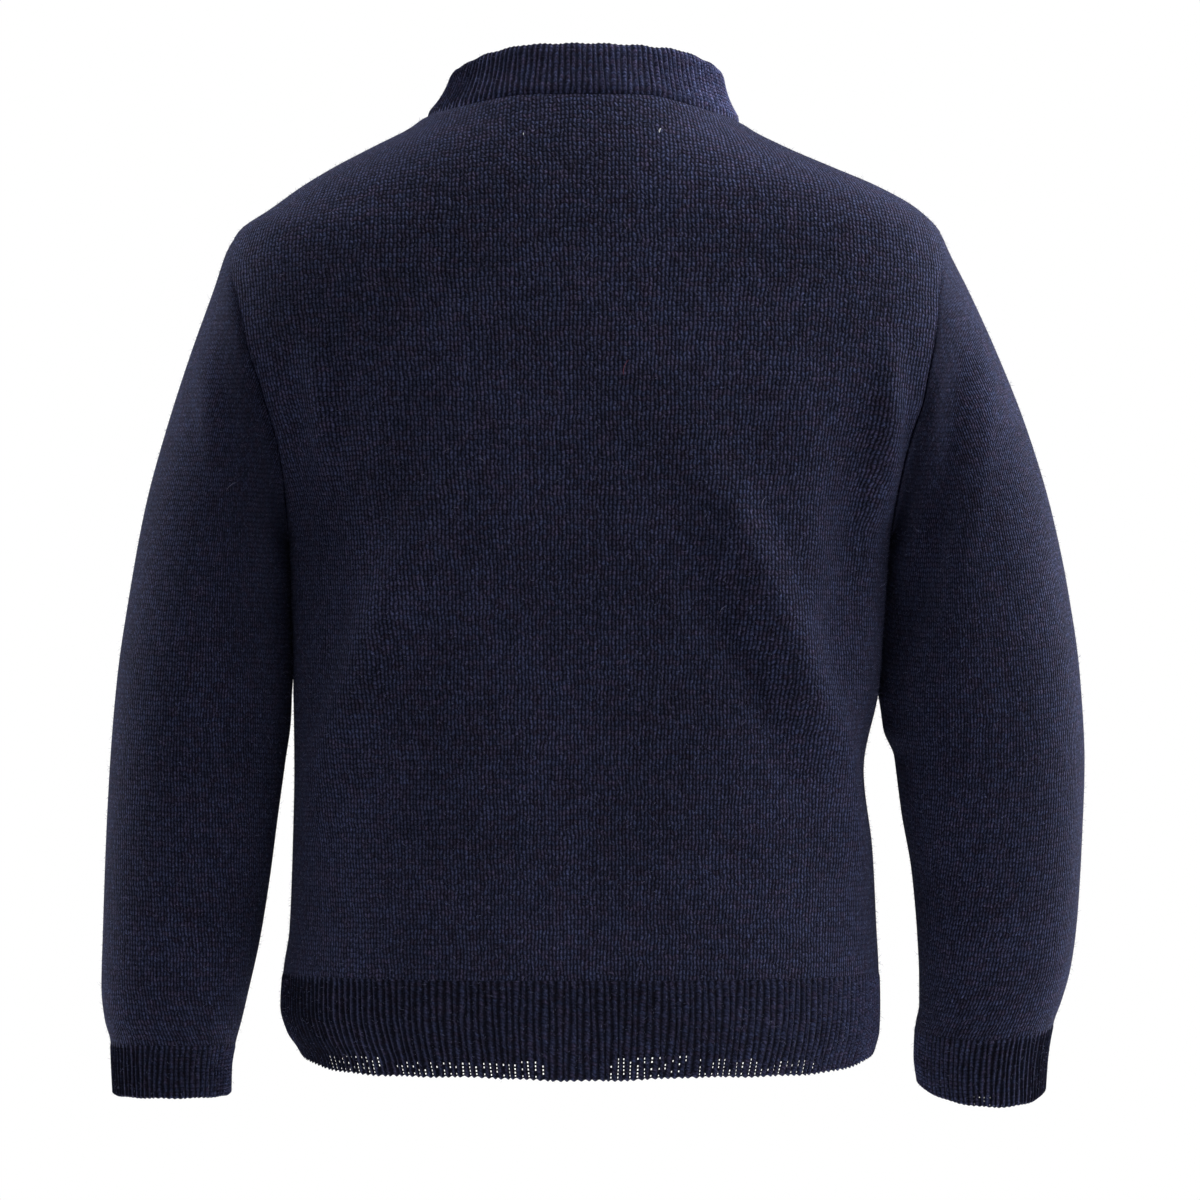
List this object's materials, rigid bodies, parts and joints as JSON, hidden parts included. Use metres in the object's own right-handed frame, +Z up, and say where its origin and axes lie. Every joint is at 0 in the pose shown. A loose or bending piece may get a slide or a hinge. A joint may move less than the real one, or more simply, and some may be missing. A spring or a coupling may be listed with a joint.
{
  "type": "knitted cardigan",
  "caption": "Child's long-sleeved crew-neck knitted cardigan in its worn shape, buttoned, with ribbed neckband, hem, cuffs and front bands, open at neck, hem and cuffs.",
  "frame": {"origin": "middle of the neck opening, between the points where neckband and shoulder seams meet", "axes": "+Z up, +Y towards the wearer's front, +X towards the wearer's right"},
  "size_m": [0.4125, 0.1795, 0.4421],
  "materials": {
    "stocking_stitch": "woolly stocking stitch, navy melange",
    "rib": "woolly one-by-one rib, navy melange",
    "button": "satin, navy"
  },
  "bodies": {
    "root": {"back": "stocking_stitch", "hem_rib_back": "rib", "front_left": "stocking_stitch", "hem_rib_front_left": "rib", "button_band_left": "rib", "sleeve_left": "stocking_stitch", "cuff_left": "rib", "front_right": "stocking_stitch", "hem_rib_front_right": "rib", "button_band_right": "rib", "sleeve_right": "stocking_stitch", "cuff_right": "rib", "neckband": "rib", "button_1": "button", "button_2": "button", "button_3": "button", "button_4": "button", "button_5": "button", "button_6": "button"}
  },
  "joints": []
}
